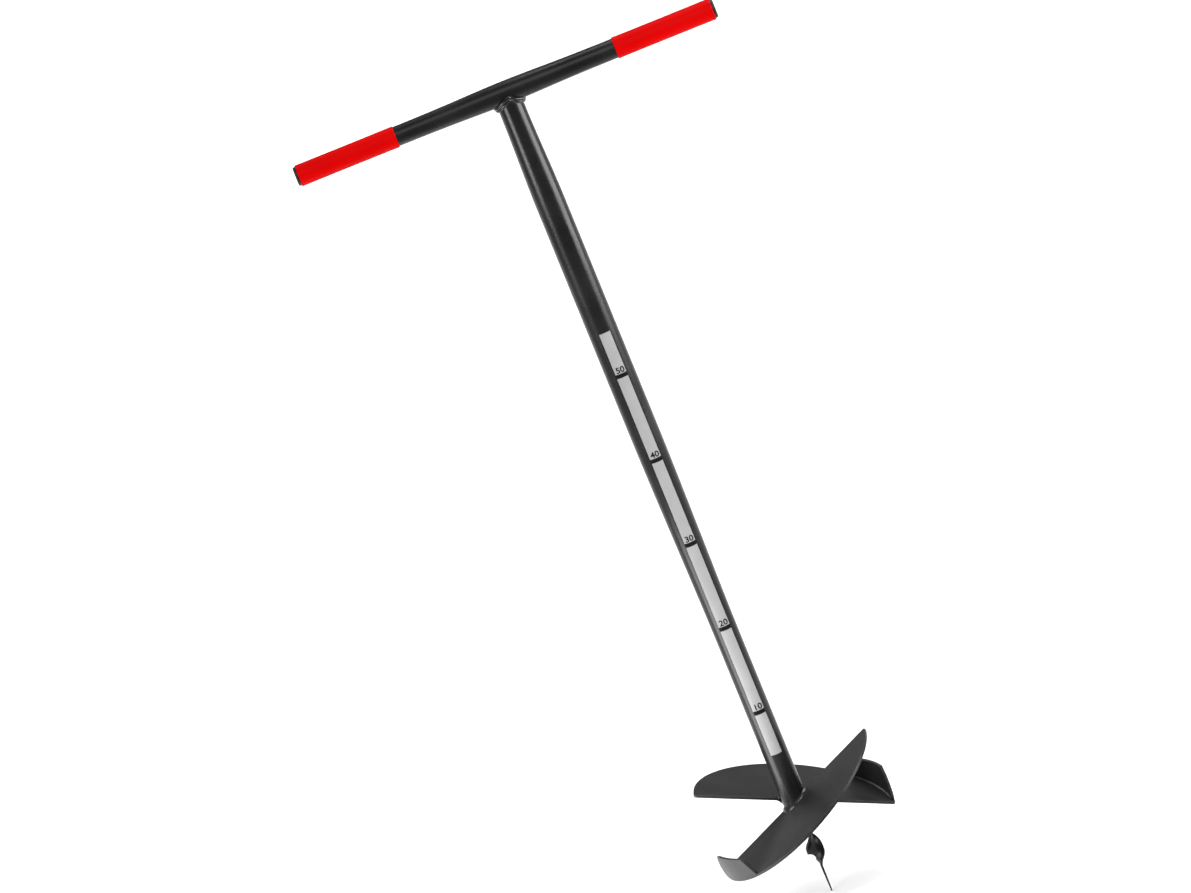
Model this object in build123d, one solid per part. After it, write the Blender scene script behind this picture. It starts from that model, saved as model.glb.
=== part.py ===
from build123d import *
import os
from math import cos, radians, sin

os.makedirs("parts", exist_ok=True)

# A hand earth auger. Millimetres, +Z up along the shaft, +X along the crossbar.
# The origin is the very tip of the pilot point. Turned clockwise, seen from above, it digs.

# Heights above the tip
FOOT_Z = 76.0           # underside of the disc that closes the shaft
SHAFT_Z = 80.0          # lower end of the shaft tube
BLADE_Z = 108.0         # where the planes of the two blades cross on the shaft's axis
ZERO_Z = 118.0          # zero of the depth scale
HANDLE_Z = 945.0        # axis of the crossbar

# Shaft: one tube, swaged thinner towards the blades and drawn in under the crossbar
LOW_R = 13.1            # outer radius of the thin lower length
MID_R = 15.75           # outer radius of the main length
NECK_R = 13.9           # outer radius at the crossbar
SHAFT_WALL = 2.0
LOW_TOP_Z = 283.0       # the thin lower length ends here
MID_START_Z = 556.0
MID_END_Z = 815.0
NECK_Z = 922.0

# Crossbar: one tube with a slight swell at the weld, plugged at both ends
BAR_SWELL_R = 12.2
BAR_SHOULDER_R = 11.05
BAR_R = 10.5
BAR_WALL = 1.8
SHOULDER_X = 60.0
GRIP_START_X = 120.0
GRIP_END_X = 227.0
BAR_END_X = 228.0
GRIP_WALL = 1.05
GRIP_ROUND = 0.6
PLUG_HEAD = 2.0
PLUG_HEAD_R = 10.0
PLUG_SHANK = 14.0

# Blades: two half-discs of plate, each tipped about the Y axis, low end leading
DISC_R = 104.8
PLATE = 3.0
TILT = 25.5
EDGE_GAP = 1.0          # from the shaft's axis to each straight edge
TIP_ROUND = 3.0

# Side plates: curved strips that stand on the rim at each blade's low end
SIDE_LEAN = 10.0        # lean of the plate out from upright, in degrees
SIDE_TAIL = 47.5        # angle round the disc from its low tip to the foot of the plate's tail
TAIL_TOP = 42.0         # the same to the top corner of its slanted tail
SIDE_REACH = 60.0       # longer than the plate's greatest height
NOSE_Y = 31.5           # the slanted nose runs back this far at its top
NOSE_DROP = 12.7        # top corner of the nose, below BLADE_Z
TAIL_DROP = 10.0        # top corner of the tail, below BLADE_Z
TAIL_FOOT_DROP = 29.1   # foot of the tail, below BLADE_Z
LOW_DROP = 70.0         # anything below the lowest point of the blades

# Weld beads
HANDLE_BEAD = 4.0
BLADE_BEAD = 4.0
SIDE_BEAD = 2.2
PILOT_BEAD = 3.0

# Depth scale: a printed film on the shaft
SCALE_WIDTH = 11.7
SCALE_FILM = 0.3
SCALE_FROM = 50.0
SCALE_TO = 550.0
SCALE_TURN = 3.0        # degrees round the shaft from the side that faces -Y

# Pilot: a flat bar twisted right-handed, then a thin spear point set edge to edge
PILOT_WIDTH = 18.4
PILOT_PLATE = 2.5
TWIST_END_Z = 31.5
TWIST_ANGLE = 222.5
SHOULDER_Z = 46.0       # below this the twisted bar narrows into the spear
SPEAR_WIDTH = 9.0
TIP_SIZE = 1.4
SCOOP_R = 6.5           # hollow that leaves a barb at the bottom of one edge
SCOOP_X = -9.0
SCOOP_Z = 39.5

FAR = 400.0             # longer than anything it cuts


def save(shape, name):
    """Write one node, as a single shape, to its own file."""
    export_step(shape, f"parts/{name}.step")


def turned(outline, axis):
    """The solid of revolution of a closed outline that is drawn in the XZ plane."""
    return revolve(make_face(outline), axis=axis)


def shaft_rod(extra=0.0):
    """The shaft's filled outer form, grown by extra all round, from SHAFT_Z to the crossbar's axis."""
    low, mid, neck = LOW_R + extra, MID_R + extra, NECK_R + extra
    side = [
        Line((low, 0, SHAFT_Z), (low, 0, LOW_TOP_Z)),
        Spline((low, 0, LOW_TOP_Z), (mid, 0, MID_START_Z), tangents=[(0, 0, 1), (0, 0, 1)]),
        Line((mid, 0, MID_START_Z), (mid, 0, MID_END_Z)),
        Spline((mid, 0, MID_END_Z), (neck, 0, NECK_Z), tangents=[(0, 0, 1), (0, 0, 1)]),
        Line((neck, 0, NECK_Z), (neck, 0, HANDLE_Z)),
    ]
    ends = Polyline((neck, 0, HANDLE_Z), (0, 0, HANDLE_Z), (0, 0, SHAFT_Z), (low, 0, SHAFT_Z))
    return turned(side + [ends], Axis.Z)


def bar_rod(half_length, inset=0.0):
    """The crossbar's filled form about its axis, inset from the outside by inset."""
    swell, shoulder, plain = BAR_SWELL_R - inset, BAR_SHOULDER_R - inset, BAR_R - inset
    crest = Spline(
        (-GRIP_START_X, 0, plain),
        (-SHOULDER_X, 0, shoulder),
        (0, 0, swell),
        (SHOULDER_X, 0, shoulder),
        (GRIP_START_X, 0, plain),
        tangents=[(1, 0, 0), (1, 0, 0)],
    )
    rest = Polyline(
        (GRIP_START_X, 0, plain),
        (half_length, 0, plain),
        (half_length, 0, 0),
        (-half_length, 0, 0),
        (-half_length, 0, plain),
        (-GRIP_START_X, 0, plain),
    )
    return Pos(0, 0, HANDLE_Z) * turned([crest, rest], Axis.X)


def rod_along_x(radius, start, end):
    """A round rod on the crossbar's axis, from start to end along X."""
    middle = (start + end) / 2
    return Pos(middle, 0, HANDLE_Z) * Rot(0, 90, 0) * Cylinder(radius, end - start)


def disc(radius, bottom, top):
    """A plain disc about the shaft's axis."""
    return Pos(0, 0, (bottom + top) / 2) * Cylinder(radius, top - bottom)


def half_turn(shape):
    """The same shape on the other side of the shaft."""
    return Rot(0, 0, 180) * shape


def make_handle():
    """The crossbar, its grips and its end plugs."""
    bar = bar_rod(BAR_END_X)
    save(bar - bar_rod(BAR_END_X, BAR_WALL), "handle_tube")

    sleeve = rod_along_x(BAR_R + GRIP_WALL, GRIP_START_X, GRIP_END_X)
    sleeve = fillet(sleeve.edges().filter_by(GeomType.CIRCLE), GRIP_ROUND)
    grip = sleeve - rod_along_x(BAR_R, GRIP_START_X, GRIP_END_X)

    head = rod_along_x(PLUG_HEAD_R, BAR_END_X, BAR_END_X + PLUG_HEAD)
    head = fillet(head.edges().filter_by(GeomType.CIRCLE).sort_by(Axis.X)[-1], PLUG_HEAD / 2)
    shank = rod_along_x(BAR_R - BAR_WALL, BAR_END_X - PLUG_SHANK, BAR_END_X)
    plug = head + shank

    for name, turn in (("right", lambda shape: shape), ("left", half_turn)):
        save(turn(grip), f"grip_{name}")
        save(turn(plug), f"end_plug_{name}")
    return bar


def make_shaft(bar):
    """The shaft tube with its fish-mouthed top, the disc that closes its foot, and its top weld."""
    rod = shaft_rod()
    save(rod - shaft_rod(-SHAFT_WALL) - bar, "shaft_tube")
    save(disc(LOW_R, FOOT_Z, SHAFT_Z), "shaft_foot_disc")

    under_bar = disc(NECK_R + HANDLE_BEAD, HANDLE_Z - BAR_SWELL_R - 2 * HANDLE_BEAD, HANDLE_Z)
    around_bar = rod_along_x(BAR_SWELL_R + HANDLE_BEAD, -FAR, FAR)
    save(under_bar & around_bar - bar - rod, "handle_weld")
    return rod


def blade_plane(height):
    """The front blade's own plane, raised by height along the plate's normal."""
    lean = radians(TILT)
    normal = Vector(-sin(lean), 0, cos(lean))
    along = Vector(cos(lean), 0, sin(lean))
    return Plane(origin=Vector(0, 0, BLADE_Z) + normal * height, x_dir=along, z_dir=normal)


def half_disc(radius):
    """The front half of a disc in the XY plane, cut off EDGE_GAP short of the middle."""
    cut = Pos(0, -EDGE_GAP - FAR / 2) * Rectangle(FAR, FAR)
    return Circle(radius) & cut


def upright():
    """The direction in which the front side plate stands up from its rim."""
    lean = radians(SIDE_LEAN)
    return Vector(-sin(lean), 0, cos(lean))


def side_band(outer, inner):
    """A band of the half-disc along its rim, from the low tip round to the side plate's tail."""
    far_x = -FAR * cos(radians(SIDE_TAIL))
    far_y = -FAR * sin(radians(SIDE_TAIL))
    sector = make_face(Polyline((0, 0), (-FAR, 0), (-FAR, far_y), (far_x, far_y), (0, 0)))
    return (Circle(outer) - Circle(inner)) & sector


def side_window():
    """What bounds the front side plate as seen along X: its slanted ends and its near-level top."""
    outline = Plane.YZ * make_face(
        Polyline(
            (-EDGE_GAP, BLADE_Z - LOW_DROP),
            (-EDGE_GAP, BLADE_Z - DISC_R * sin(radians(TILT))),
            (-NOSE_Y, BLADE_Z - NOSE_DROP),
            (-DISC_R * sin(radians(TAIL_TOP)), BLADE_Z - TAIL_DROP),
            (-DISC_R * sin(radians(SIDE_TAIL)), BLADE_Z - TAIL_FOOT_DROP),
            (-DISC_R, BLADE_Z - TAIL_FOOT_DROP),
            (-DISC_R, BLADE_Z - LOW_DROP),
            (-EDGE_GAP, BLADE_Z - LOW_DROP),
        )
    )
    return extrude(outline, -FAR, dir=(1, 0, 0))


def make_blades(rod):
    """Two half-discs, a side plate on each, and the beads that weld them up."""
    outline = half_disc(DISC_R)
    tips = outline.vertices().sort_by(Axis.Y)[-2:]
    plate = extrude(blade_plane(-PLATE / 2) * fillet(tips, TIP_ROUND), PLATE)
    blade = plate - rod

    top = blade_plane(PLATE / 2)
    strip = extrude(top * side_band(DISC_R, DISC_R - PLATE), SIDE_REACH, dir=upright())
    side = strip & side_window()
    bead_band = side_band(DISC_R - PLATE + SIDE_BEAD, DISC_R - PLATE - SIDE_BEAD)
    side_bead = extrude(top * bead_band, SIDE_BEAD) & side_window() - side
    side_bead = side_bead.solids().sort_by(SortBy.VOLUME)[-1]

    collar = disc(LOW_R + BLADE_BEAD, BLADE_Z - LOW_DROP, BLADE_Z + LOW_DROP) - rod
    upper = extrude(top * half_disc(DISC_R), BLADE_BEAD) & collar
    lower = extrude(blade_plane(-PLATE / 2) * half_disc(DISC_R), -BLADE_BEAD) & collar

    nodes = {
        "blade": blade,
        "side_plate": side,
        "side_plate_weld": side_bead,
        "blade_weld_upper": upper,
        "blade_weld_lower": lower,
    }
    for name, shape in nodes.items():
        save(shape, f"front_{name}")
        save(half_turn(shape), f"rear_{name}")


def make_scale(rod):
    """The printed film of the depth scale, as wide all the way down as it is cut."""
    height = SCALE_TO - SCALE_FROM
    middle = ZERO_Z + (SCALE_FROM + SCALE_TO) / 2
    window = Pos(0, -MID_R, middle) * Box(SCALE_WIDTH, 2 * MID_R, height)
    film = (shaft_rod(SCALE_FILM) - rod) & window
    save(Rot(0, 0, SCALE_TURN) * film, "depth_scale")


def make_pilot():
    """The twisted flat bar under the shaft, its spear point, and the bead that holds it."""
    section = Pos(0, 0, TWIST_END_Z) * Rectangle(PILOT_PLATE, PILOT_WIDTH)
    twist = Solid.extrude_linear_with_rotation(
        section.faces()[0],
        center=(0, 0, TWIST_END_Z),
        normal=(0, 0, FOOT_Z - TWIST_END_Z),
        angle=TWIST_ANGLE,
    )
    wide = PILOT_WIDTH
    shoulder = [
        Polyline((0, 0, TWIST_END_Z), (0, 0, FOOT_Z), (wide, 0, FOOT_Z), (wide, 0, SHOULDER_Z)),
        Line((wide, 0, SHOULDER_Z), (PILOT_WIDTH / 2, 0, SHOULDER_Z)),
        Spline(
            (PILOT_WIDTH / 2, 0, SHOULDER_Z),
            (SPEAR_WIDTH / 2, 0, TWIST_END_Z),
            tangents=[(0, 0, -1), (0, 0, -1)],
        ),
        Line((SPEAR_WIDTH / 2, 0, TWIST_END_Z), (0, 0, TWIST_END_Z)),
    ]
    scoop = Pos(SCOOP_X, 0, SCOOP_Z) * Rot(90, 0, 0) * Cylinder(SCOOP_R, 2 * wide)
    twist = (twist & turned(shoulder, Axis.Z)) - scoop

    root = Pos(0, 0, TWIST_END_Z) * Rectangle(PILOT_PLATE, SPEAR_WIDTH)
    spear = loft([root, Rectangle(TIP_SIZE, TIP_SIZE)])
    pilot = twist + spear
    save(pilot, "pilot_point")
    save(disc(PILOT_WIDTH / 2 + PILOT_BEAD, FOOT_Z - PILOT_BEAD, FOOT_Z) - pilot, "pilot_weld")


bar_form = make_handle()
shaft_form = make_shaft(bar_form)
make_blades(shaft_form)
make_scale(shaft_form)
make_pilot()
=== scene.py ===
"""Hand earth auger: the looks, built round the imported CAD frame.

Every object is in metres, in the CAD's frame, with +Z up the shaft. Shapes are worked out in
millimetres, and add_mesh() turns them into metres.
"""

import math

import bmesh
import bpy
from mathutils import Matrix, Vector, noise


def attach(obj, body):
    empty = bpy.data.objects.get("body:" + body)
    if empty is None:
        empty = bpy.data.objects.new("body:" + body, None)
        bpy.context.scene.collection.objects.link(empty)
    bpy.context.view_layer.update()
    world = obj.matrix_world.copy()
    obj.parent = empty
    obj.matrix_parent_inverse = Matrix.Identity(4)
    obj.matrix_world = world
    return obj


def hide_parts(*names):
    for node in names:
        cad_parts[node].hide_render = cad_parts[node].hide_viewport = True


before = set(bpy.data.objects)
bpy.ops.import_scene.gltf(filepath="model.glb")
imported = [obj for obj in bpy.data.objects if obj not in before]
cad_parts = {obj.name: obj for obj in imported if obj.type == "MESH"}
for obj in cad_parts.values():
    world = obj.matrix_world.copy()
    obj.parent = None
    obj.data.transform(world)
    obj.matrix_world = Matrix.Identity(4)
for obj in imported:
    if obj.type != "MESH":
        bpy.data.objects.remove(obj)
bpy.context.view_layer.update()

MM = 0.001
AXIS_Z = Vector((0, 0, 1))

# The same driving dimensions as the CAD, in millimetres. Angles are in radians.
SHAFT_Z = 80.0
BLADE_Z = 108.0
ZERO_Z = 118.0
HANDLE_Z = 945.0
LOW_R, MID_R, NECK_R, SHAFT_WALL = 13.1, 15.75, 13.9, 2.0
LOW_TOP_Z, MID_START_Z, MID_END_Z, NECK_Z = 283.0, 556.0, 815.0, 922.0
BAR_SWELL_R, BAR_R, BAR_WALL, BAR_END_X = 12.2, 10.5, 1.8, 228.0
SWELL_SPREAD = 0.2215
GRIP_START_X, GRIP_END_X, GRIP_R = 120.0, 227.0, 11.55
PLUG_HEAD, PLUG_HEAD_R, PLUG_SHANK = 2.0, 10.0, 14.0
DISC_R, PLATE, TILT, EDGE_GAP, TIP_ROUND = 104.8, 3.0, math.radians(25.5), 1.0, 3.0
SIDE_LEAN, SIDE_TAIL, TAIL_TOP = math.radians(10.0), math.radians(47.5), math.radians(42.0)
NOSE_Y, NOSE_DROP, TAIL_DROP, TAIL_FOOT_DROP = 31.5, 12.7, 10.0, 29.1
SCALE_WIDTH, SCALE_FILM, SCALE_FROM, SCALE_TO = 11.7, 0.3, 50.0, 550.0
SCALE_TURN = math.radians(3.0)

# Detail that only the looks have, in millimetres
FISH_MOUTH_FROM = 910.0  # the shaft's wall starts to bend to the crossbar's underside here
SEAM_RISE = 4.2  # where the shaft is wider than the crossbar, it ends this far under its axis
NOSE_START = 7.6  # the slanted nose of a side plate clears the blade's face this far along
BEAD_PITCH = 2.6  # spacing of the frozen ripples of a fillet weld


# ---------------------------------------------------------------- shapes


def steps(a, b, count):
    """Evenly spaced values from a to b, both included."""
    return [a + (b - a) * i / count for i in range(count + 1)]


def blend(a, b, t):
    """Smooth step from a to b as t goes from 0 to 1, flat at both ends."""
    t = min(max(t, 0.0), 1.0)
    return a + (b - a) * t * t * (3 - 2 * t)


def shaft_radius(z):
    """Outer radius of the shaft at height z, in millimetres."""
    if z < MID_END_Z:
        return blend(LOW_R, MID_R, (z - LOW_TOP_Z) / (MID_START_Z - LOW_TOP_Z))
    return blend(MID_R, NECK_R, (z - MID_END_Z) / (NECK_Z - MID_END_Z))


def bar_radius(x):
    """Outer radius of the crossbar at distance x from the shaft, in millimetres."""
    t = x / GRIP_START_X
    return BAR_R + (BAR_SWELL_R - BAR_R) * math.exp(-t * t / SWELL_SPREAD)


def link(name, data):
    """An object for some data, in the scene."""
    obj = bpy.data.objects.new(name, data)
    bpy.context.scene.collection.objects.link(obj)
    return obj


def add_mesh(name, points, faces, mat, sharp=40):
    """A smooth-shaded mesh object from points in millimetres, with edges past an angle kept sharp."""
    mesh = bpy.data.meshes.new(name)
    mesh.from_pydata([Vector(p) * MM for p in points], [], faces)
    work = bmesh.new()
    work.from_mesh(mesh)
    bmesh.ops.remove_doubles(work, verts=work.verts, dist=1e-6)
    bmesh.ops.recalc_face_normals(work, faces=work.faces)
    work.to_mesh(mesh)
    work.free()
    mesh.shade_smooth()
    mesh.set_sharp_from_angle(angle=math.radians(sharp))
    mesh.materials.append(mat)
    return link(name, mesh)


def skin(rings, closed=False):
    """Points and faces of a skin over rings of equal length, capped at both ends unless closed."""
    points = [p for ring in rings for p in ring]
    n, faces = len(rings[0]), []
    last = len(rings) if closed else len(rings) - 1
    for i in range(last):
        a, b = i * n, ((i + 1) % len(rings)) * n
        for j in range(n):
            k = (j + 1) % n
            faces.append((a + j, a + k, b + k, b + j))
    if not closed:
        faces.append(tuple(range(n)))
        faces.append(tuple((last * n) + j for j in reversed(range(n))))
    return points, faces


def lathe(name, profile, mat, segments=96, axis="Z", centre=(0, 0, 0), warp=None, sharp=40):
    """A closed profile of (along, radius) pairs turned about the Z or X axis through centre."""
    rings = []
    for i in range(segments):
        angle = 2 * math.pi * i / segments
        ring = []
        for along, radius in profile:
            u, v = radius * math.cos(angle), radius * math.sin(angle)
            p = Vector((u, v, along)) if axis == "Z" else Vector((along, u, v))
            p = p + Vector(centre)
            ring.append(warp(p) if warp else p)
        rings.append(ring)
    return add_mesh(name, *skin(rings, closed=True), mat, sharp=sharp)


def bevel(obj, width, segments=3, angle=35):
    """Round a plate's sharp arrises by a width in millimetres, and keep its flat faces flat."""
    edge = obj.modifiers.new("arris", "BEVEL")
    edge.width = width * MM
    edge.segments = segments
    edge.limit_method = "ANGLE"
    edge.angle_limit = math.radians(angle)
    edge.harden_normals = True


def half_turn(obj, name):
    """A copy of a piece on the other side of the shaft, with its bevels."""
    twin = link(name, obj.data.copy())
    twin.data.transform(Matrix.Rotation(math.pi, 4, "Z"))
    for mod in obj.modifiers:
        if mod.type == "BEVEL":
            bevel(twin, mod.width / MM, mod.segments, math.degrees(mod.angle_limit))
    return twin


def place(obj, slot, *nodes):
    """Ride the part's one body, and stand for the named CAD nodes. The slot is not used."""
    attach(obj, "root")
    if nodes:
        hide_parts(*nodes)


# ------------------------------------------------------------- materials


NOISE_LOW, NOISE_HIGH = 0.3, 0.7  # nearly all of a noise texture's values lie between these


def material(name, specular, roughness=0.5):
    """A node material and its Principled shader."""
    mat = bpy.data.materials.new(name)
    mat.use_nodes = True
    shader = mat.node_tree.nodes["Principled BSDF"]
    shader.inputs["Specular IOR Level"].default_value = specular
    shader.inputs["Roughness"].default_value = roughness
    return mat, shader


def noise_node(mat, scale, detail=3.0, stretch=(1, 1, 1)):
    """Noise in the object's own space, in metres, stretched along an axis where asked."""
    nodes, links = mat.node_tree.nodes, mat.node_tree.links
    where = nodes.new("ShaderNodeTexCoord")
    mapping = nodes.new("ShaderNodeMapping")
    mapping.inputs["Scale"].default_value = stretch
    tex = nodes.new("ShaderNodeTexNoise")
    tex.inputs["Scale"].default_value = scale
    tex.inputs["Detail"].default_value = detail
    links.new(where.outputs["Object"], mapping.inputs["Vector"])
    links.new(mapping.outputs["Vector"], tex.inputs["Vector"])
    return tex.outputs["Fac"]


def vary_colour(mat, shader, value, low, high, full=NOISE_HIGH):
    """Take the base colour from low to high over a noise value, reaching high at full."""
    node = mat.node_tree.nodes.new("ShaderNodeValToRGB")
    for element, at, colour in zip(node.color_ramp.elements, (NOISE_LOW, full), (low, high)):
        element.position = at
        element.color = (*colour, 1)
    mat.node_tree.links.new(value, node.inputs["Fac"])
    mat.node_tree.links.new(node.outputs["Color"], shader.inputs["Base Color"])


def vary_roughness(mat, shader, value, low, high):
    """Take the roughness from low to high over a noise value."""
    node = mat.node_tree.nodes.new("ShaderNodeMapRange")
    node.inputs["From Min"].default_value = NOISE_LOW
    node.inputs["From Max"].default_value = NOISE_HIGH
    node.inputs["To Min"].default_value = low
    node.inputs["To Max"].default_value = high
    mat.node_tree.links.new(value, node.inputs["Value"])
    mat.node_tree.links.new(node.outputs["Result"], shader.inputs["Roughness"])


def bumps(mat, shader, *layers):
    """Stack bump layers of (height, depth in metres) on a shader."""
    before = None
    for height, depth in layers:
        node = mat.node_tree.nodes.new("ShaderNodeBump")
        node.inputs["Strength"].default_value = 1.0
        node.inputs["Distance"].default_value = depth
        mat.node_tree.links.new(height, node.inputs["Height"])
        if before:
            mat.node_tree.links.new(before, node.inputs["Normal"])
        before = node.outputs["Normal"]
    mat.node_tree.links.new(before, shader.inputs["Normal"])


def powder_coat(name, rough, dark=0.007, light=0.012, peel=0.00003, specular=0.4):
    """Semi-gloss black powder coat: orange peel, a fine speckle and faint cloudy dust."""
    mat, shader = material(name, specular)
    cloud = noise_node(mat, 22.0, 4.0)
    fine = noise_node(mat, 900.0, 2.0)
    coarse = noise_node(mat, 260.0, 2.0)
    vary_colour(mat, shader, cloud, (dark, dark, dark * 1.06), (light, light, light * 1.05))
    vary_roughness(mat, shader, cloud, rough - 0.04, rough + 0.05)
    bumps(mat, shader, (coarse, peel * 2), (fine, peel))
    return mat


def vinyl():
    """Bright red vinyl sleeve: smooth, with a faint cloud and fine grain."""
    mat, shader = material("grip_red_vinyl", 0.03)
    cloud = noise_node(mat, 35.0, 3.0, (0.35, 1, 1))
    grain = noise_node(mat, 1400.0, 2.0)
    drawn = noise_node(mat, 420.0, 2.0, (0.12, 1, 1))
    vary_colour(mat, shader, cloud, (0.50, 0.0004, 0.0004), (0.58, 0.001, 0.001))
    vary_roughness(mat, shader, cloud, 0.38, 0.48)
    bumps(mat, shader, (drawn, 0.00004), (grain, 0.00002))
    return mat


def plug_plastic():
    """Dark moulded plastic with a faint mottle."""
    mat, shader = material("plug_dark_plastic", 0.4, 0.5)
    mottle = noise_node(mat, 700.0, 3.0)
    vary_colour(mat, shader, mottle, (0.012, 0.008, 0.008), (0.03, 0.02, 0.02))
    bumps(mat, shader, (mottle, 0.00004))
    return mat


def printed_film():
    """Silver-grey film with a faint drawn grain along the shaft."""
    mat, shader = material("scale_silver_film", 0.3)
    grain = noise_node(mat, 900.0, 3.0, (1, 1, 0.15))
    cloud = noise_node(mat, 60.0, 3.0)
    vary_colour(mat, shader, cloud, (0.315, 0.315, 0.32), (0.34, 0.34, 0.345))
    vary_roughness(mat, shader, grain, 0.40, 0.52)
    bumps(mat, shader, (grain, 0.000008))
    return mat


def ink():
    """Black print with slightly uneven cover."""
    mat, shader = material("scale_black_ink", 0.1, 0.6)
    cover = noise_node(mat, 1500.0, 2.0)
    vary_colour(mat, shader, cover, (0.002, 0.002, 0.002), (0.006, 0.006, 0.006), full=0.75)
    return mat


tube_coat = powder_coat("tube_powder_coat", 0.26, specular=0.28)
plate_coat = powder_coat("plate_powder_coat", 0.40, specular=0.36)
weld_coat = powder_coat("weld_powder_coat", 0.24, peel=0.00002)
pilot_coat = powder_coat("pilot_powder_coat", 0.34, dark=0.004, light=0.008, specular=0.2)
grip_vinyl = vinyl()
plug_mat = plug_plastic()
film_mat = printed_film()
ink_mat = ink()


# ----------------------------------------------------- shaft and crossbar


def saddle(x, y):
    """Height at which the shaft's wall meets the crossbar, in millimetres."""
    r = bar_radius(abs(x))
    return HANDLE_Z - math.sqrt(max(r * r - y * y, SEAM_RISE**2))


def fish_mouth(p):
    """Fit the top of the shaft under the crossbar."""
    if p.z <= FISH_MOUTH_FROM:
        return p
    share = (saddle(p.x, p.y) - FISH_MOUTH_FROM) / (HANDLE_Z - FISH_MOUTH_FROM)
    return Vector((p.x, p.y, FISH_MOUTH_FROM + (p.z - FISH_MOUTH_FROM) * share))


def make_shaft():
    """One tube: thin below, swelling to the middle, drawn in again under the crossbar."""
    heights = steps(SHAFT_Z, LOW_TOP_Z, 10) + steps(LOW_TOP_Z, MID_START_Z, 36)[1:]
    heights += steps(MID_START_Z, MID_END_Z, 10)[1:] + steps(MID_END_Z, NECK_Z, 20)[1:]
    heights += steps(NECK_Z, HANDLE_Z, 6)[1:]
    outer = [(z, shaft_radius(z)) for z in heights]
    inner = [(z, r - SHAFT_WALL) for z, r in reversed(outer)]
    tube = lathe("shaft", outer + inner, tube_coat, 128, warp=fish_mouth)
    place(tube, "black_coat", "shaft_tube")


def make_crossbar():
    """One tube with a slightly larger middle."""
    along = steps(-BAR_END_X, -GRIP_START_X, 2) + steps(-GRIP_START_X, GRIP_START_X, 60)[1:]
    along += steps(GRIP_START_X, BAR_END_X, 2)[1:]
    outer = [(x, bar_radius(abs(x)) if abs(x) < GRIP_START_X else BAR_R) for x in along]
    inner = [(x, r - BAR_WALL) for x, r in reversed(outer)]
    tube = lathe("crossbar", outer + inner, tube_coat, 96, "X", (0, 0, HANDLE_Z))
    place(tube, "black_coat", "handle_tube")


def quarter(along, out, r, count, outward_end):
    """A quarter round of radius r that ends a turned profile. Its centre is at (along, out)."""
    points = []
    for i in range(count + 1):
        a = math.radians(90 * i / count)
        if outward_end:
            points.append((along + r * math.sin(a), out + r * math.cos(a)))
        else:
            points.append((along - r * math.cos(a), out + r * math.sin(a)))
    return points


def grip_profile():
    """Section of the sleeve: rounded ends with a slight lip, and a very slight waist."""
    inside = BAR_R + 0.05
    lip_height, lip_length, waist_depth = 0.10, 2.2, 0.10
    inner_round, outer_round = 0.6, 0.9
    profile = [(GRIP_START_X, inside), (GRIP_START_X, BAR_R + 0.55)]
    profile += quarter(GRIP_START_X + inner_round, GRIP_R - inner_round, inner_round, 4, False)
    for t in steps(0.0, 1.0, 40):
        x = GRIP_START_X + (GRIP_END_X - GRIP_START_X) * t
        near_end = min(x - GRIP_START_X, GRIP_END_X - x)
        lip = lip_height * math.exp(-((near_end / lip_length) ** 2))
        waist = waist_depth * math.sin(math.pi * t)
        if GRIP_START_X + 0.7 < x < GRIP_END_X - 1.0:
            profile.append((x, GRIP_R - lip_height - waist + lip))
    profile += quarter(GRIP_END_X - outer_round, GRIP_R - outer_round, outer_round, 4, True)
    return profile + [(GRIP_END_X, BAR_R + 0.3), (GRIP_END_X, inside)]


def make_grips():
    """Vinyl sleeves pushed on both ends of the crossbar."""
    grip = lathe("grip_right", grip_profile(), grip_vinyl, 96, "X", (0, 0, HANDLE_Z), sharp=60)
    place(half_turn(grip, "grip_left"), "grip_vinyl", "grip_left")
    place(grip, "grip_vinyl", "grip_right")


def make_plugs():
    """Domed heads with a shallow dish, pushed into the ends of the crossbar."""
    shank, centre_hole = BAR_R - BAR_WALL, 0.01
    tip_x, face_x = BAR_END_X - PLUG_SHANK, BAR_END_X + PLUG_HEAD
    profile = [(tip_x, centre_hole), (tip_x, shank - 0.6), (tip_x + 0.8, shank)]
    profile += [(BAR_END_X - 0.2, shank), (BAR_END_X, PLUG_HEAD_R - 0.1)]
    for i in range(7):
        a = math.radians(90 * i / 6)
        rise, inset = (PLUG_HEAD - 0.8) * math.sin(a), 1.2 * math.cos(a)
        profile.append((BAR_END_X + 0.8 + rise, PLUG_HEAD_R - 1.2 + inset))
    profile += [(face_x - 0.02, PLUG_HEAD_R - 2.4), (face_x - 0.5, PLUG_HEAD_R - 3.4)]
    profile += [(face_x - 0.6, centre_hole)]
    plug = lathe("end_plug_right", profile, plug_mat, 72, "X", (0, 0, HANDLE_Z), sharp=50)
    place(half_turn(plug, "end_plug_left"), "plug_plastic", "end_plug_left")
    place(plug, "plug_plastic", "end_plug_right")


# ---------------------------------------------------------------- blades

ALONG = Vector((math.cos(TILT), 0, math.sin(TILT)))
NORMAL = Vector((-math.sin(TILT), 0, math.cos(TILT)))
CROSSING = Vector((0, 0, BLADE_Z))
UPRIGHT = Vector((-math.sin(SIDE_LEAN), 0, math.cos(SIDE_LEAN)))


def on_blade(a, b, height):
    """A point of the front blade: a along it, b towards the front, height along its normal."""
    return CROSSING + ALONG * a + Vector((0, -b, 0)) + NORMAL * height


def arc(cx, cy, r, start, end, count):
    """Points of an arc, angles in degrees."""
    angles = [math.radians(t) for t in steps(start, end, count)]
    return [(cx + r * math.cos(t), cy + r * math.sin(t)) for t in angles]


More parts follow.
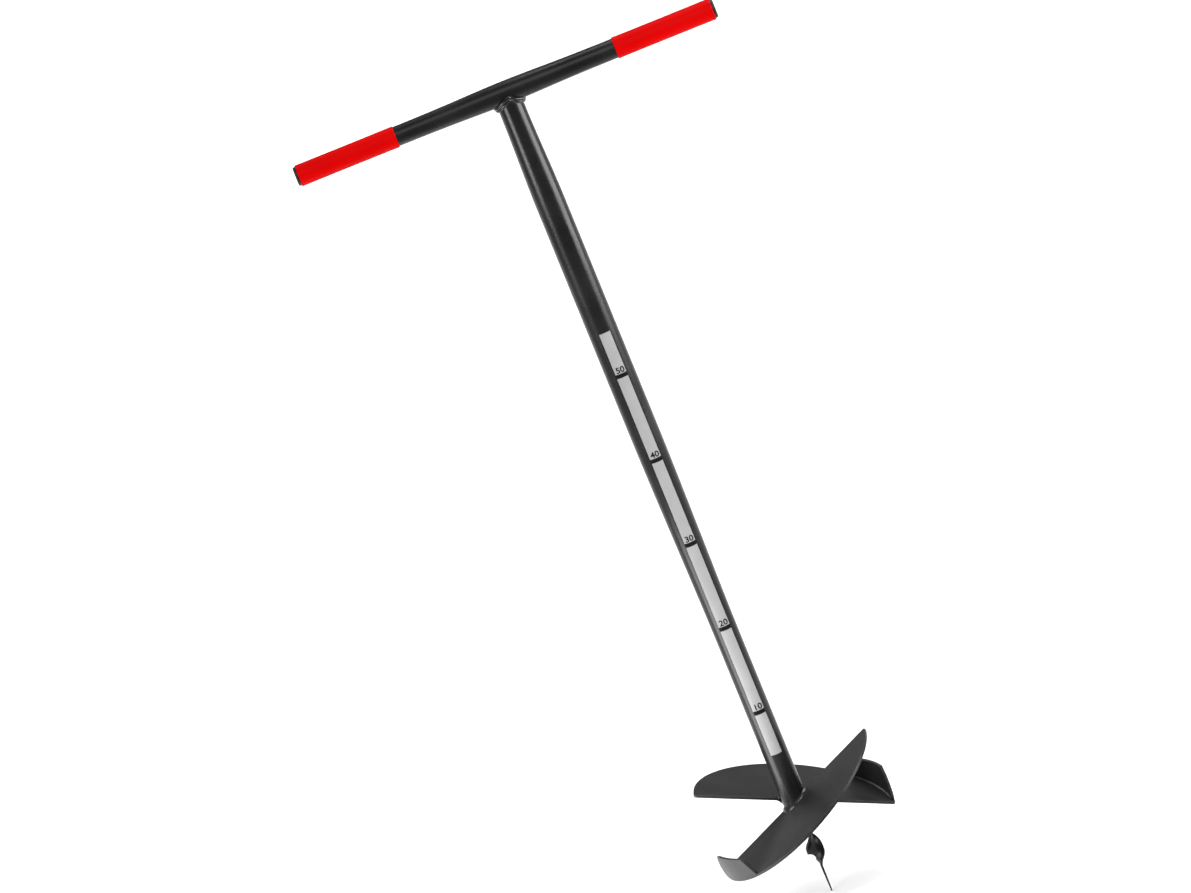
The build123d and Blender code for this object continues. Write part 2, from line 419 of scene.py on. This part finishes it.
def blade_outline():
    """The half-disc, its two rounded tips, and the notch that clears the shaft."""
    tip_b = EDGE_GAP + TIP_ROUND
    tip_a = math.sqrt((DISC_R - TIP_ROUND) ** 2 - tip_b**2)
    lean = math.degrees(math.atan2(tip_b, tip_a))
    outline = arc(0, 0, DISC_R, lean, 180 - lean, 150)
    outline += arc(-tip_a, tip_b, TIP_ROUND, 180 - lean, 270, 8)[1:]
    notch = math.degrees(math.asin(EDGE_GAP / LOW_R))
    stretch = 1 / math.cos(TILT)
    outline += [(a * stretch, b) for a, b in arc(0, 0, LOW_R, 180 - notch, notch, 30)]
    outline += arc(tip_a, tip_b, TIP_ROUND, -90, lean, 8)[:-1]
    return outline


def make_blades():
    """Two half-discs of plate with softened edges."""
    outline = blade_outline()
    rings = [[on_blade(a, b, h) for a, b in outline] for h in (-PLATE / 2, PLATE / 2)]
    blade = add_mesh("front_blade", *skin(rings), plate_coat, sharp=30)
    bevel(blade, 0.45)
    place(half_turn(blade, "rear_blade"), "black_coat", "rear_blade")
    place(blade, "black_coat", "front_blade")


def side_top(y):
    """Height of the side plate's top edge at depth y, in millimetres."""
    nose_foot = BLADE_Z - DISC_R * math.sin(TILT)
    nose_top, tail_top = BLADE_Z - NOSE_DROP, BLADE_Z - TAIL_DROP
    tail_y, end_y = DISC_R * math.sin(TAIL_TOP), DISC_R * math.sin(SIDE_TAIL)
    if y < NOSE_Y:
        return nose_foot + (nose_top - nose_foot) * (y - EDGE_GAP) / (NOSE_Y - EDGE_GAP)
    if y < tail_y:
        return nose_top + (tail_top - nose_top) * (y - NOSE_Y) / (tail_y - NOSE_Y)
    return tail_top - (TAIL_FOOT_DROP - TAIL_DROP) * (y - tail_y) / (end_y - tail_y)


def side_height(radius, angle):
    """The side plate's foot and its length up from there, at an angle from the low tip."""
    foot = on_blade(-radius * math.cos(angle), radius * math.sin(angle), PLATE / 2)
    return foot, (side_top(radius * math.sin(angle)) - foot.z) / math.cos(SIDE_LEAN)


def make_side_plates():
    """Curved strips that stand on the rim at each blade's low end."""
    least = 0.4, 0.3  # the least height of the outer and the inner face
    nose = math.asin(NOSE_START / DISC_R)
    corner = math.asin(NOSE_Y / DISC_R)
    angles = steps(nose, corner, 14) + steps(corner, TAIL_TOP, 28)[1:]
    angles += steps(TAIL_TOP, SIDE_TAIL, 10)[1:]
    rings = []
    for angle in angles:
        outer, outer_height = side_height(DISC_R, angle)
        inner, inner_height = side_height(DISC_R - PLATE, angle)
        rings.append([
            outer,
            outer + UPRIGHT * max(outer_height, least[0]),
            inner + UPRIGHT * max(inner_height, least[1]),
            inner,
        ])
    plate = add_mesh("front_side_plate", *skin(rings), plate_coat, sharp=30)
    bevel(plate, 0.4)
    place(half_turn(plate, "rear_side_plate"), "black_coat", "rear_side_plate")
    place(plate, "black_coat", "front_side_plate")


# ----------------------------------------------------------------- welds


def lumps(p, seed, size):
    """Smooth noise from -1 to 1 over lumps of a size in millimetres."""
    return noise.noise(p / size + Vector((seed, seed * 0.7, -seed)))


def ripple(s, pitch):
    """Height of the frozen ripples of a weld, 0 to 1, with a sharp groove between them."""
    t = (s / pitch) % 1.0
    return math.sin(math.pi * t) ** 0.8


def fillet_bead(name, stations, leg, fullness, wave, seed, mat=weld_coat):
    """A fillet along a corner, with ripples of depth wave and a section hollower as fullness grows.

    A station is (corner, direction of leg a, direction of leg b, scale).
    """
    lump, root = 0.08, 0.6  # share of the size that is uneven, and depth behind the corner
    rings, s, before = [], 0.0, None
    for corner, a, b, scale in stations:
        s += (corner - before).length if before else 0.0
        before = corner
        uneven = wave * ripple(s, BEAD_PITCH) + lump * lumps(corner, seed, 7.0)
        size = leg * scale * (1 - wave + uneven)
        ring = []
        for i in range(9):
            t = math.radians(90 * i / 8)
            along_a, along_b = math.cos(t) ** fullness, math.sin(t) ** fullness
            ring.append(corner + a * size * along_a + b * size * along_b)
        ring.append(corner - (a + b) * root)
        rings.append(ring)
    return add_mesh(name, *skin(rings), mat, sharp=75)


def blade_weld(name, side, leg_at, fullness, seed):
    """The bead between the shaft and the front blade, above (side 1) or below (side -1)."""
    overrun = 0.12  # how far the bead runs on past the blade's straight edge, in radians
    start = math.asin(EDGE_GAP / LOW_R) - overrun
    end = math.pi - start
    stations = []
    for theta in steps(start, end, 90):
        x, y = LOW_R * math.cos(theta), -LOW_R * math.sin(theta)
        z = BLADE_Z + (side * PLATE / 2 + math.sin(TILT) * x) / math.cos(TILT)
        away = Vector((math.cos(theta), -math.sin(theta), math.tan(TILT) * math.cos(theta)))
        taper = min(1.0, 0.45 + 6 * min(theta - start, end - theta))
        scale = taper * leg_at(theta)
        stations.append((Vector((x, y, z)), away.normalized(), AXIS_Z * side, scale))
    return fillet_bead(name, stations, 1.0, fullness, 0.035, seed)


def upper_leg(theta):
    """Small at the right of the shaft, fuller round the front to the left."""
    return 3.0 + 2.0 * math.exp(-((theta - 1.95) / 0.5) ** 2)


def lower_leg(theta):
    """A web builds up under the high end of the blade."""
    return 3.2 + 4.2 * math.exp(-((theta - 0.45) / 0.35) ** 2)


def make_blade_welds():
    """Beads above and below both blades."""
    for level, side, leg_at, fullness, seed in (
        ("upper", 1, upper_leg, 1.6, 3.1),
        ("lower", -1, lower_leg, 2.3, 8.4),
    ):
        bead = blade_weld(f"front_blade_weld_{level}", side, leg_at, fullness, seed)
        rear = half_turn(bead, f"rear_blade_weld_{level}")
        place(rear, "black_coat", f"rear_blade_weld_{level}")
        place(bead, "black_coat", f"front_blade_weld_{level}")


def make_side_welds():
    """Smooth fillets inside the side plates, painted like them."""
    radius, start, stop_short = DISC_R - PLATE, math.asin(12 / DISC_R), 0.03
    stations = []
    for angle in steps(start, SIDE_TAIL - stop_short, 110):
        foot = on_blade(-radius * math.cos(angle), radius * math.sin(angle), PLATE / 2)
        inward = ALONG * math.cos(angle) + Vector((0, math.sin(angle), 0))
        ends = min(1.0, 0.4 + 5 * min(angle - 0.1, SIDE_TAIL - angle))
        stations.append((foot, inward, UPRIGHT, ends))
    bead = fillet_bead("front_side_plate_weld", stations, 1.6, 1.5, 0.0, 5.2, plate_coat)
    place(half_turn(bead, "rear_side_plate_weld"), "black_coat", "rear_side_plate_weld")
    place(bead, "black_coat", "front_side_plate_weld")


def round_bead(name, path, radius, pitch, seed):
    """A closed round bead along a loop of (centre, outward) pairs, fullest at its two sides."""
    thin, lump = 0.62, 0.26  # size at the front and back, and share of the size that is uneven
    rings, s = [], 0.0
    count = len(path)
    for i, (centre, outward) in enumerate(path):
        ahead = path[(i + 1) % count][0] - path[i - 1][0]
        s += (centre - path[i - 1][0]).length if i else 0.0
        side = ahead.normalized().cross(outward).normalized()
        full = thin + (1 - thin) * outward.x**2
        size = radius * full * (0.97 + 0.03 * ripple(s, pitch) + lump * lumps(centre, seed, 7.0))
        ring = []
        for j in range(16):
            t = 2 * math.pi * j / 16
            ring.append(centre + (outward * math.cos(t) + side * math.sin(t)) * size)
        rings.append(ring)
    return add_mesh(name, *skin(rings, closed=True), weld_coat, sharp=75)


def saddle_path(out, drop, count=260):
    """A loop round the top of the shaft, out from its wall and below the crossbar's edge.

    It is flatter than the true seam. At the front and back it is tucked in against the crossbar.
    """
    flatness, gap, tuck, wander = 0.72, 4.0, 1.7, 0.7
    path = []
    for i in range(count):
        theta = 2 * math.pi * i / count
        radial = Vector((math.cos(theta), math.sin(theta), 0))
        x, y = radial.x * NECK_R, radial.y * NECK_R
        seam = HANDLE_Z - math.sqrt(max(BAR_SWELL_R**2 - flatness * y * y, 0.0) + gap)
        z = seam - drop + wander * lumps(Vector((x, y, 0)), 4.0 + drop, 14.0)
        reach = NECK_R + out - tuck * radial.y**2
        path.append((radial * reach + AXIS_Z * z, radial))
    return path


def make_handle_weld():
    """Two passes of weld between the crossbar and the shaft."""
    upper = round_bead("handle_weld_upper_pass", saddle_path(0.6, -1.4), 3.6, 5.0, 2.0)
    lower = round_bead("handle_weld_lower_pass", saddle_path(0.2, 1.6), 3.0, 4.4, 6.0)
    place(upper, "black_coat", "handle_weld")
    place(lower, "black_coat", "handle_weld")


# ------------------------------------------------------------ depth scale


INK, TICK_HALF = 0.08, 2.3  # thickness of the print, and half the height of a tick bar
DIGIT_HEIGHT, DIGIT_RISE, DIGIT_SHIFT = 6.6, 3.4, 0.4  # rise above the tick, shift to the right
CAP_HEIGHT = 0.73  # height of a figure in the built-in font, as a share of its size


def on_film(across, z, lift):
    """A point over the shaft's front: millimetres across it, a height and a lift off the tube."""
    r = shaft_radius(z)
    angle = math.asin(across / r) + SCALE_TURN
    return Vector(((r + lift) * math.sin(angle), -(r + lift) * math.cos(angle), z))


def patch(width, low, high, inside, outside, rows, columns=14):
    """Points and faces of a thin closed patch that lies on the shaft."""
    points, faces = [], []
    stride = columns + 1
    across = steps(-width / 2, width / 2, columns)
    for lift in (outside, inside):
        for z in steps(low, high, rows):
            points += [on_film(a, z, lift) for a in across]
    layer = stride * (rows + 1)
    for j in range(rows):
        for i in range(columns):
            k = j * stride + i
            faces.append((k, k + 1, k + stride + 1, k + stride))
            faces.append((layer + k, layer + k + stride, layer + k + stride + 1, layer + k + 1))
    rim = list(range(stride)) + [j * stride + columns for j in range(1, rows + 1)]
    rim += [rows * stride + i for i in range(columns - 1, -1, -1)]
    rim += [j * stride for j in range(rows - 1, 0, -1)]
    for a, b in zip(rim, rim[1:] + rim[:1]):
        faces.append((a, layer + a, layer + b, b))
    return points, faces


def merged(parts):
    """Join several lists of points and faces."""
    points, faces = [], []
    for more, polygons in parts:
        start = len(points)
        points += more
        faces += [tuple(start + k for k in polygon) for polygon in polygons]
    return points, faces


def digits(value, base_z):
    """Points and faces of upright numerals laid on the film, with their feet at base_z."""
    curve = bpy.data.curves.new("numeral", "FONT")
    curve.body = str(value)
    curve.align_x = "CENTER"
    curve.size = DIGIT_HEIGHT / CAP_HEIGHT
    curve.extrude = 0.02
    curve.offset = 0.22
    curve.space_character = 1.02
    text = link("numeral", curve)
    graph = bpy.context.evaluated_depsgraph_get()
    mesh = bpy.data.meshes.new_from_object(text.evaluated_get(graph))
    work = bmesh.new()
    work.from_mesh(mesh)
    for x in steps(-6, 6, 20):  # cut the flat faces so that they can follow the tube
        geometry = work.verts[:] + work.edges[:] + work.faces[:]
        bmesh.ops.bisect_plane(work, geom=geometry, plane_co=(x, 0, 0), plane_no=(1, 0, 0))
    points = []
    for v in work.verts:
        lift = SCALE_FILM + INK / 2 + v.co.z
        points.append(on_film(v.co.x + DIGIT_SHIFT, base_z + v.co.y, lift))
    faces = [tuple(v.index for v in f.verts) for f in work.faces]
    work.free()
    bpy.data.objects.remove(text)
    bpy.data.curves.remove(curve)
    bpy.data.meshes.remove(mesh)
    return points, faces


def make_scale():
    """The printed film: a tick bar and a number every 100 mm."""
    film = patch(SCALE_WIDTH, ZERO_Z + SCALE_FROM, ZERO_Z + SCALE_TO, 0.0, SCALE_FILM, 100)
    place(add_mesh("depth_scale_film", *film, film_mat), "scale_film", "depth_scale")
    bars, numerals = [], []
    for value in range(10, 60, 10):
        z = ZERO_Z + value * 10
        low, high = z - TICK_HALF, z + TICK_HALF
        bars.append(patch(SCALE_WIDTH, low, high, SCALE_FILM, SCALE_FILM + INK, 2))
        numerals.append(digits(value, z + DIGIT_RISE))
    place(add_mesh("depth_scale_bars", *merged(bars), ink_mat), "scale_film")
    place(add_mesh("depth_scale_numerals", *merged(numerals), ink_mat), "scale_film")


# ------------------------------------------------------ carried CAD nodes


def coat_cad_nodes():
    """Give every CAD node a node material. The first three stay in view."""
    coats = {"shaft_foot_disc": tube_coat, "pilot_point": pilot_coat, "pilot_weld": pilot_coat}
    for name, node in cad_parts.items():
        node.data.materials.clear()
        node.data.materials.append(coats.get(name, plate_coat))


# ------------------------------------------------------------------ stage


def make_floor():
    """A plain pale floor, large enough that its edge is never seen."""
    mesh = bpy.data.meshes.new("floor")
    far = 30.0
    corners = [(-far, -far, 0), (far, -far, 0), (far, far, 0), (-far, far, 0)]
    mesh.from_pydata(corners, [], [(0, 1, 2, 3)])
    mat, shader = material("floor_pale", 0.0, 0.9)
    vary_colour(mat, shader, noise_node(mat, 0.7, 2.0), (0.89, 0.89, 0.89), (0.91, 0.91, 0.91))
    mesh.materials.append(mat)
    floor = link("floor", mesh)


def softbox(name, place_at, aim, width, height, power, beam=180):
    """A soft rectangular lamp aimed at a point, with its beam narrowed to an angle in degrees."""
    lamp = bpy.data.lights.new(name, "AREA")
    lamp.shape = "RECTANGLE"
    lamp.size, lamp.size_y = width, height
    lamp.energy = power
    lamp.spread = math.radians(beam)
    obj = link(name, lamp)
    obj.location = place_at
    obj.rotation_euler = (Vector(aim) - Vector(place_at)).to_track_quat("-Z", "Y").to_euler()
    obj.visible_camera = False


def around(azimuth, distance, z):
    """A point round the shaft, at an azimuth in degrees to the right of the side that faces -Y."""
    a = math.radians(azimuth)
    return (distance * math.sin(a), -distance * math.cos(a), z)


def make_lights():
    """Soft lamps round the shaft, two over the floor behind it, and a faint even fill."""
    softbox("front_softbox", around(33, 2.0, 2.2), (0, 0, 0.7), 1.0, 0.8, 5.5, 60)
    softbox("high_softbox", around(-3, 1.6, 2.9), (0, 0, 0.9), 2.4, 1.6, 2.2, 60)
    softbox("right_softbox", around(74, 1.3, 0.46), (0, 0, 0.8), 0.9, 0.42, 6.6, 120)
    softbox("left_high_softbox", around(-54, 1.4, 0.62), (0, 0, 0.9), 0.55, 0.46, 3.9, 100)
    softbox("left_low_softbox", around(-63, 0.3, 0.155), (0, 0, 0.2), 0.2, 0.29, 1.6)
    softbox("back_softbox", (0.0, 2.6, 0.7), (0, 0, 0.1), 2.4, 0.6, 0.6)
    softbox("floor_left_softbox", (-1.3, 2.3, 2.6), (-0.7, 2.7, 0), 1.4, 3.2, 75.0, 130)
    softbox("floor_right_softbox", (1.3, 1.2, 2.5), (0.0, 1.0, 0), 1.2, 2.6, 36.0, 110)
    world = bpy.data.worlds.new("studio")
    world.use_nodes = True
    backdrop = world.node_tree.nodes["Background"]
    backdrop.inputs["Color"].default_value = (1, 1, 1, 1)
    backdrop.inputs["Strength"].default_value = 0.14
    bpy.context.scene.world = world


def make_camera():
    """A long lens, 21 degrees above the horizon, rolled so that the shaft leans to the left."""
    elevation, azimuth, roll = math.radians(21.0), math.radians(0.8), math.radians(22.29)
    distance, target = 30.0, Vector((-0.0518, 0.0, 0.5508))
    back = Vector((
        math.sin(azimuth) * math.cos(elevation),
        -math.cos(azimuth) * math.cos(elevation),
        math.sin(elevation),
    ))
    level = Vector((math.cos(azimuth), math.sin(azimuth), 0))
    rise = back.cross(level)
    right = level * math.cos(roll) - rise * math.sin(roll)
    up = level * math.sin(roll) + rise * math.cos(roll)
    lens = bpy.data.cameras.new("camera")
    lens.sensor_width = 36.0
    lens.lens = 887.9
    lens.clip_end = 100.0
    camera = link("camera", lens)
    basis = Matrix((right, up, back)).transposed().to_4x4()
    camera.matrix_world = Matrix.Translation(target + back * distance) @ basis
    bpy.context.scene.camera = camera


make_shaft()
make_crossbar()
make_grips()
make_plugs()
make_blades()
make_side_plates()
make_blade_welds()
make_side_welds()
make_handle_weld()
make_scale()
coat_cad_nodes()
make_floor()
make_lights()
make_camera()
bpy.context.scene.view_settings.view_transform = "Standard"
